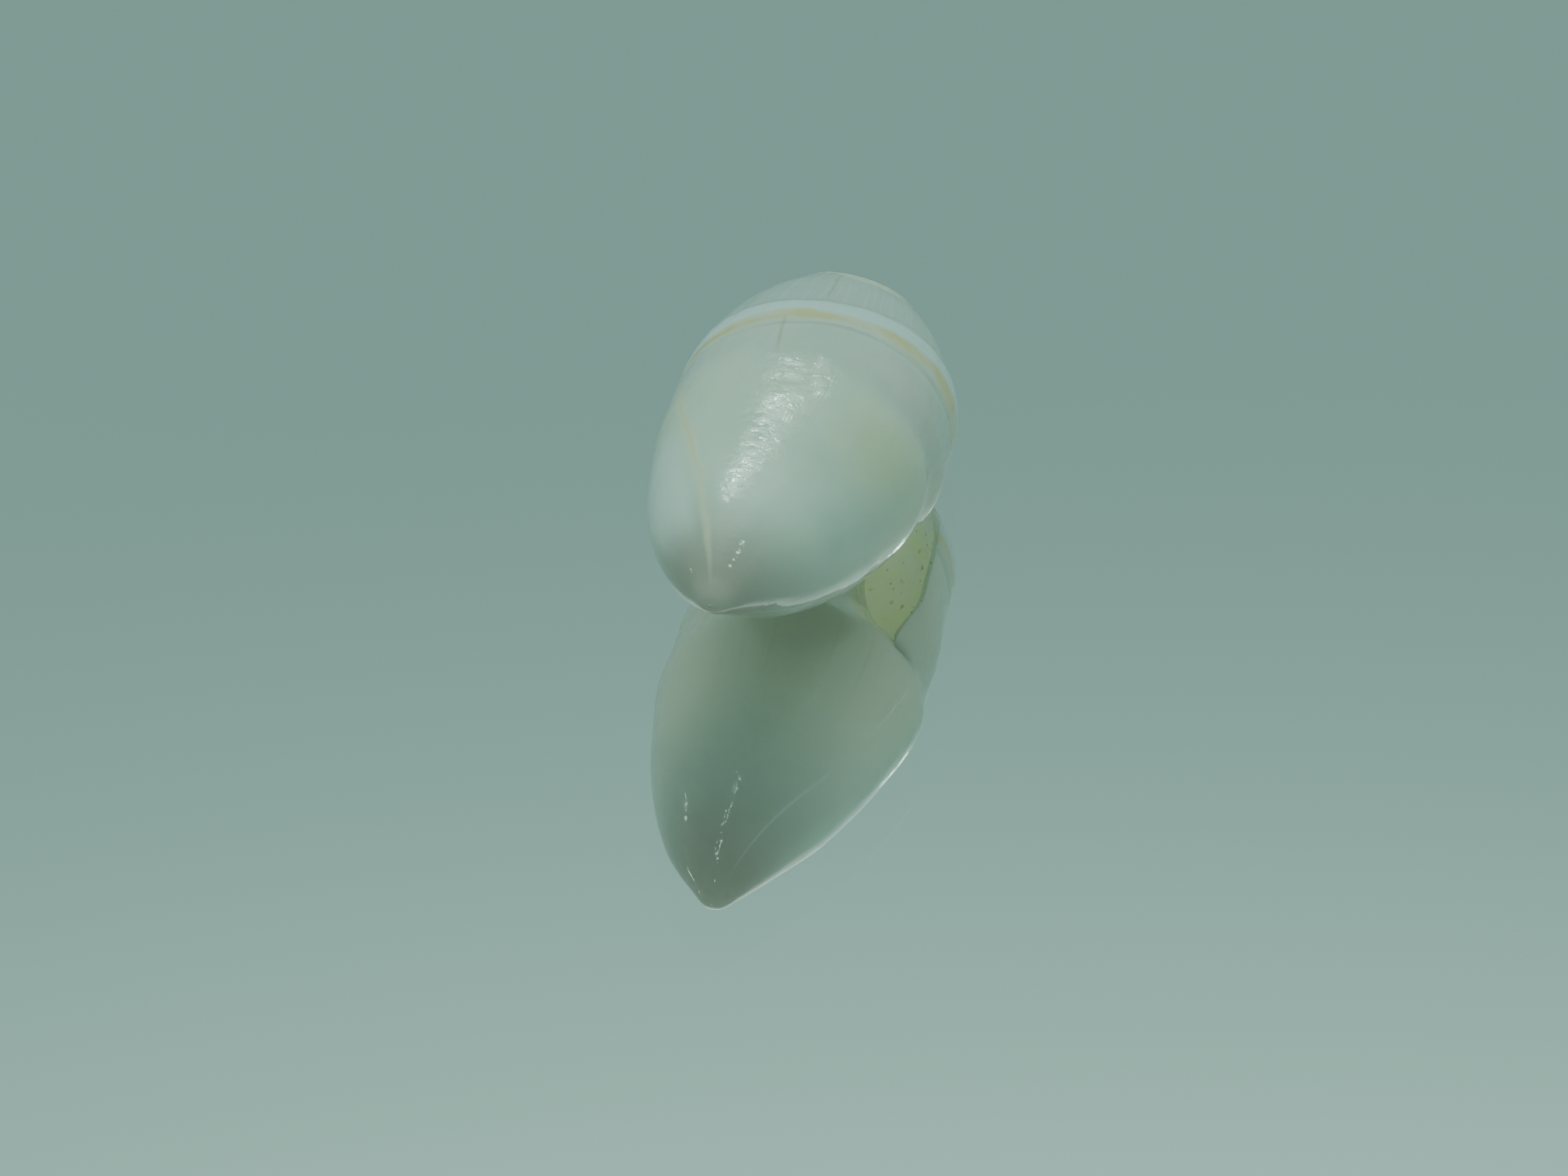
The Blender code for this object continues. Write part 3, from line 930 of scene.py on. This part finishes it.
def direction_from(azimuth, elevation):
    """Unit vector towards a place seen at an azimuth from -Y, turning to +X, and an elevation."""
    level = math.cos(elevation)
    return Vector((math.sin(azimuth) * level, -math.cos(azimuth) * level, math.sin(elevation)))


def aim(item, target):
    """Turn a light or the camera to face a point."""
    item.rotation_euler = (target - item.location).to_track_quat("-Z", "Y").to_euler()


def add_light(name, azimuth, elevation, size, power, colour):
    """Hang a soft rectangular light that faces the shell."""
    data = bpy.data.lights.new(name, "AREA")
    data.shape = "RECTANGLE"
    data.size = size[0]
    data.size_y = size[1]
    data.energy = power
    data.color = colour
    light = bpy.data.objects.new(name, data)
    target = Vector((0.0, 0.0, LIT_HEIGHT))
    light.location = target + direction_from(math.radians(azimuth), math.radians(elevation)) * LIGHT_DISTANCE
    bpy.context.scene.collection.objects.link(light)
    aim(light, target)
    return light


def build_lights(stage):
    """Hang the key light, which isn't seen in reflections, and the narrow lights that make the sheens."""
    for name, azimuth, elevation, size, strength in LIGHTS:
        light = add_light(name, azimuth, elevation, size, strength * stage.brightness, stage.light_colour)
        light.visible_glossy = name != "key_light"


def build_surroundings(stage):
    """Even light all round, with a soft glow high up behind the shell that reflections show only in part."""
    graph = Graph(bpy.data.worlds.new("soft surroundings"))
    coordinates = graph.nodes.new("ShaderNodeTexCoord")
    towards = graph.nodes.new("ShaderNodeVectorMath")
    towards.operation = "DOT_PRODUCT"
    graph.link(coordinates.outputs["Generated"], towards.inputs[0])
    glow_direction = direction_from(math.radians(GLOW_AZIMUTH), math.radians(GLOW_ELEVATION))
    towards.inputs[1].default_value = glow_direction
    glow = graph.ramp(towards.outputs["Value"], math.cos(math.radians(GLOW_REACH)), 1.0)
    path = graph.nodes.new("ShaderNodeLightPath")
    scattered = graph.ramp(path.outputs["Diffuse Depth"], 0.0, 1.0)
    glow = graph.times(glow, graph.line(scattered, 1.0 - GLOW_SEEN, GLOW_SEEN))
    strength = graph.line(glow, GLOW_STRENGTH - EVEN_STRENGTH, EVEN_STRENGTH)
    background = graph.nodes["Background"].inputs
    graph.link(graph.mix(glow, stage.surroundings, stage.glow), background["Color"])
    graph.link(graph.times(strength, stage.brightness), background["Strength"])
    bpy.context.scene.world = graph.owner


def build_camera(stage):
    """Place the camera at the photograph's viewing angle."""
    data = bpy.data.cameras.new("view")
    data.sensor_width = 36.0
    data.lens = stage.lens
    data.clip_start = 0.01
    data.clip_end = 20.0
    camera = bpy.data.objects.new("view", data)
    target = Vector((stage.view_x, stage.view_y, stage.view_z))
    camera.location = target + direction_from(stage.view_azimuth, stage.view_elevation) * stage.view_distance
    bpy.context.scene.collection.objects.link(camera)
    aim(camera, target)
    bpy.context.scene.camera = camera


def length_property(name, description, default):
    """A size that the panel shows as a length."""
    return bpy.props.FloatProperty(
        name=name,
        description=description,
        default=default,
        min=0.0,
        unit="LENGTH",
        precision=5,
    )


def colour_property(name, description, default):
    """A colour that the panel shows as a swatch."""
    return bpy.props.FloatVectorProperty(
        name=name,
        description=description,
        default=default,
        subtype="COLOR",
        min=0.0,
        max=1.0,
    )


class OliveShellSizes(bpy.types.PropertyGroup):
    """Sizes of the shell"""

    length: length_property("Length", "Length along the axis", 24.3 * MM)
    body_radius: length_property("Body radius", "Radius of the last turn at its widest", 6.05 * MM)
    wall: length_property("Wall", "Thickness of the last turn's wall", 0.48 * MM)
    lip_wall: length_property("Lip wall", "Thickness of the outer lip's edge", 0.26 * MM)
    band_width: length_property("Band width", "Width of the beige band before the groove", 1.1 * MM)
    rim_width: length_property("Rim width", "Width of the raised bluish rim", 1.4 * MM)
    ripple: length_property("Ripple", "Height of the soft growth ripples", 0.006 * MM)
    translucency: bpy.props.FloatProperty(
        name="Translucency",
        description="Share of the light that travels through the wall",
        default=0.6,
        min=0.0,
        max=1.0,
        subtype="FACTOR",
    )


class OliveShellColours(bpy.types.PropertyGroup):
    """Colours of the shell"""

    glaze: colour_property("Glaze", "Clear white of the glaze", (0.72, 0.81, 0.72))
    milk: colour_property("Milk", "Milky clouds in the glaze", (0.63, 0.74, 0.67))
    pale: colour_property("Pale", "Bluish white blotches", (0.78, 0.87, 0.85))
    # Callus colour: partly the underside's own warm glaze, partly painted light that lifts its shade.
    callus_and_painted_light: colour_property("Callus", "Warm white glaze of the underside", (0.95, 0.87, 0.73))
    # Spire colour: partly the spire's own grey, partly painted shade, also laid on its underside.
    spire: colour_property("Spire", "Greyer glaze of the spire", (0.42, 0.36, 0.31))
    tint: colour_property("Tint", "Yellow-green that shows through the wall", (0.72, 0.75, 0.52))
    blush: colour_property("Blush", "Pinkish tone behind the lip", (0.76, 0.68, 0.66))
    streak: colour_property("Streak", "Darker growth lines", (0.64, 0.63, 0.53))
    band: colour_property("Band", "Beige band before the groove", (0.85, 0.82, 0.64))
    band_deep: colour_property("Deep band", "Yellow parts of the beige band", (0.84, 0.71, 0.38))
    rim: colour_property("Rim", "Bluish white of the raised rim", (0.73, 0.92, 0.93))
    front: colour_property("Front", "Grey glassy front band", (0.53, 0.63, 0.60))
    front_pale: colour_property("Pale front", "Paler lines in the front band", (0.62, 0.72, 0.68))
    groove: colour_property("Groove", "Shade in the groove line", (0.52, 0.46, 0.44))
    # Edge colour: the free edge's own yellowish white, also laid as a painted highlight in a crescent at the
    # front.
    edge: colour_property("Edge", "Yellowish white of the free edge", (0.93, 0.90, 0.70))
    inside: colour_property("Inside", "Yellow-green of the inside", (0.95, 1.0, 0.54))
    inside_pale: colour_property("Pale inside", "Paler parts of the inside", (0.97, 1.0, 0.70))
    speck: colour_property("Speck", "Brown specks and marks", (0.36, 0.19, 0.08))


class OliveShellStage(bpy.types.PropertyGroup):
    """Floor, light and view"""

    floor_half: length_property("Floor reach", "Half of the floor's width", 1.5)
    floor_depth: length_property("Floor depth", "Depth of the silvering under the clear top", 1.9 * MM)
    # Near floor: the paler front tone, painted light standing in for a bright reflection.
    floor_near_painted_light: colour_property("Near floor", "Colour of the silvering in front", (0.96, 0.98, 0.97))
    floor_far: colour_property("Far floor", "Colour of the silvering behind", (0.84, 0.88, 0.87))
    surroundings: colour_property("Surroundings", "Colour of the light all round", (0.54, 0.96, 0.84))
    glow: colour_property("Glow", "Colour of the glow behind the shell", (0.90, 1.0, 0.86))
    light_colour: colour_property("Light", "Colour of the lights", (0.69, 1.0, 0.85))
    brightness: bpy.props.FloatProperty(
        name="Brightness",
        description="Strength of all the light together",
        default=1.0,
        min=0.0,
    )
    lens: bpy.props.FloatProperty(name="Lens", description="Focal length in mm", default=214.3, min=1.0)
    view_x: length_property("View across", "Middle of the view, across", 0.07 * MM)
    view_y: bpy.props.FloatProperty(
        name="View along",
        description="Middle of the view, along the shell",
        default=-2.43 * MM,
        unit="LENGTH",
        precision=5,
    )
    view_z: bpy.props.FloatProperty(
        name="View height",
        description="Middle of the view, above the floor's top",
        default=-0.4 * MM,
        unit="LENGTH",
        precision=5,
    )
    view_distance: length_property("View distance", "Distance of the camera", 405.4 * MM)
    view_azimuth: bpy.props.FloatProperty(
        name="View azimuth",
        description="Angle of the camera round the shell, from the tip towards the lip",
        default=math.radians(13.4),
        subtype="ANGLE",
    )
    view_elevation: bpy.props.FloatProperty(
        name="View elevation",
        description="Angle of the camera above the floor",
        default=math.radians(42.0),
        subtype="ANGLE",
    )


class OLIVE_OT_build_shell(bpy.types.Operator):
    """Build the glazed shell in place of the plain solid"""

    bl_idname = "olive.build_shell"
    bl_label = "Build shell"
    bl_options = {"REGISTER", "UNDO"}

    def execute(self, context):
        piece = build_shell_piece(context.scene.olive_sizes, context.scene.olive_colours)
        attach(piece, "root")
        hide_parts("shell")
        return {"FINISHED"}


class OLIVE_OT_build_stage(bpy.types.Operator):
    """Lay the floor, hang the lights and place the camera"""

    bl_idname = "olive.build_stage"
    bl_label = "Build stage"
    bl_options = {"REGISTER", "UNDO"}

    def execute(self, context):
        stage = context.scene.olive_stage
        build_floor(stage)
        build_lights(stage)
        build_surroundings(stage)
        build_camera(stage)
        return {"FINISHED"}


class OLIVE_PT_panel(bpy.types.Panel):
    """Sizes, colours and building steps of the olive shell"""

    bl_label = "Olive shell"
    bl_space_type = "VIEW_3D"
    bl_region_type = "UI"
    bl_category = "Olive shell"

    def draw(self, context):
        scene = context.scene
        for group in (scene.olive_sizes, scene.olive_colours, scene.olive_stage):
            box = self.layout.box()
            for name in group.__annotations__:
                box.prop(group, name)
        self.layout.operator(OLIVE_OT_build_shell.bl_idname)
        self.layout.operator(OLIVE_OT_build_stage.bl_idname)


CLASSES = (
    OliveShellSizes,
    OliveShellColours,
    OliveShellStage,
    OLIVE_OT_build_shell,
    OLIVE_OT_build_stage,
    OLIVE_PT_panel,
)


def register():
    """Register the classes and hang the settings on the scene."""
    for item in CLASSES:
        bpy.utils.register_class(item)
    bpy.types.Scene.olive_sizes = bpy.props.PointerProperty(type=OliveShellSizes)
    bpy.types.Scene.olive_colours = bpy.props.PointerProperty(type=OliveShellColours)
    bpy.types.Scene.olive_stage = bpy.props.PointerProperty(type=OliveShellStage)


def unregister():
    """Take the settings and the classes away again."""
    del bpy.types.Scene.olive_stage
    del bpy.types.Scene.olive_colours
    del bpy.types.Scene.olive_sizes
    for item in reversed(CLASSES):
        bpy.utils.unregister_class(item)


def main():
    """Build the shell and the stage."""
    register()
    bpy.ops.olive.build_shell()
    bpy.ops.olive.build_stage()


if __name__ == "__main__":
    main()
